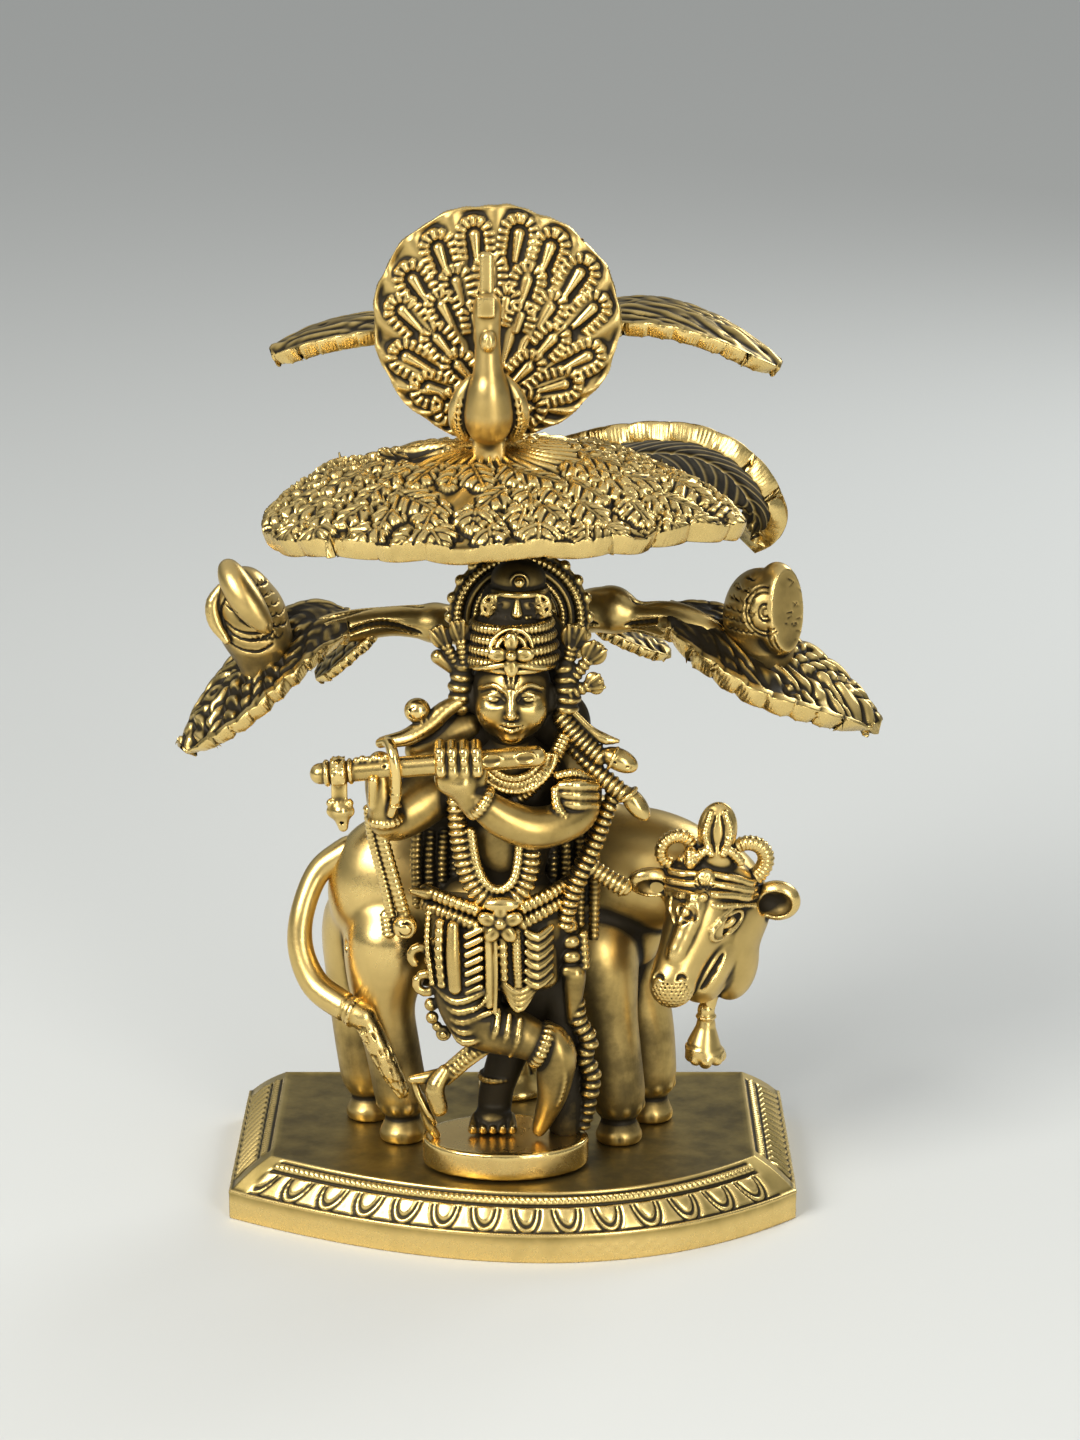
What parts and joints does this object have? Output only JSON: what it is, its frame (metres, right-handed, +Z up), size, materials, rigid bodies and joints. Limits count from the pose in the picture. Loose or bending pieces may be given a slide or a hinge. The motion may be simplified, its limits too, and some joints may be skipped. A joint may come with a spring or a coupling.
{
  "type": "hindu deity statue",
  "caption": "Cast brass statuette of a flute-playing deity with a cow, under a leafy tree topped by a peacock, on a bow-fronted plinth with an egg-and-dart border.",
  "frame": {"origin": "centre of the footprint of the whole statue, on the surface it stands on", "axes": "+Z up, +X to the right as seen from the front, +Y towards the back, so the figure faces -Y"},
  "size_m": [0.1484, 0.0888, 0.219],
  "materials": {
    "plinth_brass": "aged satin, olive brown patina on the flat top, polished rim",
    "pedestal_brass": "polished satin",
    "figure_brass": "antique, polished high points over dark patina in the recesses",
    "cow_brass": "burnished satin with dark recesses",
    "tree_brass": "antique chased relief with dark recesses",
    "bird_brass": "antique chased relief with dark recesses",
    "pin_brass": "dull",
    "screw_steel": "zinc plated"
  },
  "bodies": {
    "root": {"plinth_casting": "plinth_brass", "figure_pedestal": "pedestal_brass", "deity_figure": "figure_brass", "halo_arch": "figure_brass", "flute": "figure_brass", "flute_tassel": "figure_brass", "cow_body": "cow_brass", "cow_head": "cow_brass", "cow_tail": "cow_brass", "cow_bell": "cow_brass", "tree_trunk": "tree_brass", "lower_left_branch": "tree_brass", "lower_right_branch": "tree_brass", "canopy_front_leaf": "tree_brass", "canopy_rear_leaf": "tree_brass", "upper_left_leaf": "tree_brass", "upper_right_leaf": "tree_brass", "left_parrot": "bird_brass", "right_parrot": "bird_brass", "peacock_body": "bird_brass", "peacock_fan": "bird_brass", "peacock_stud": "pin_brass", "peacock_nut": "pin_brass", "left_parrot_pin": "pin_brass", "right_parrot_pin": "pin_brass", "figure_screw": "screw_steel", "cow_rear_screw": "screw_steel", "cow_front_screw": "screw_steel", "trunk_screw": "screw_steel"}
  },
  "joints": []
}
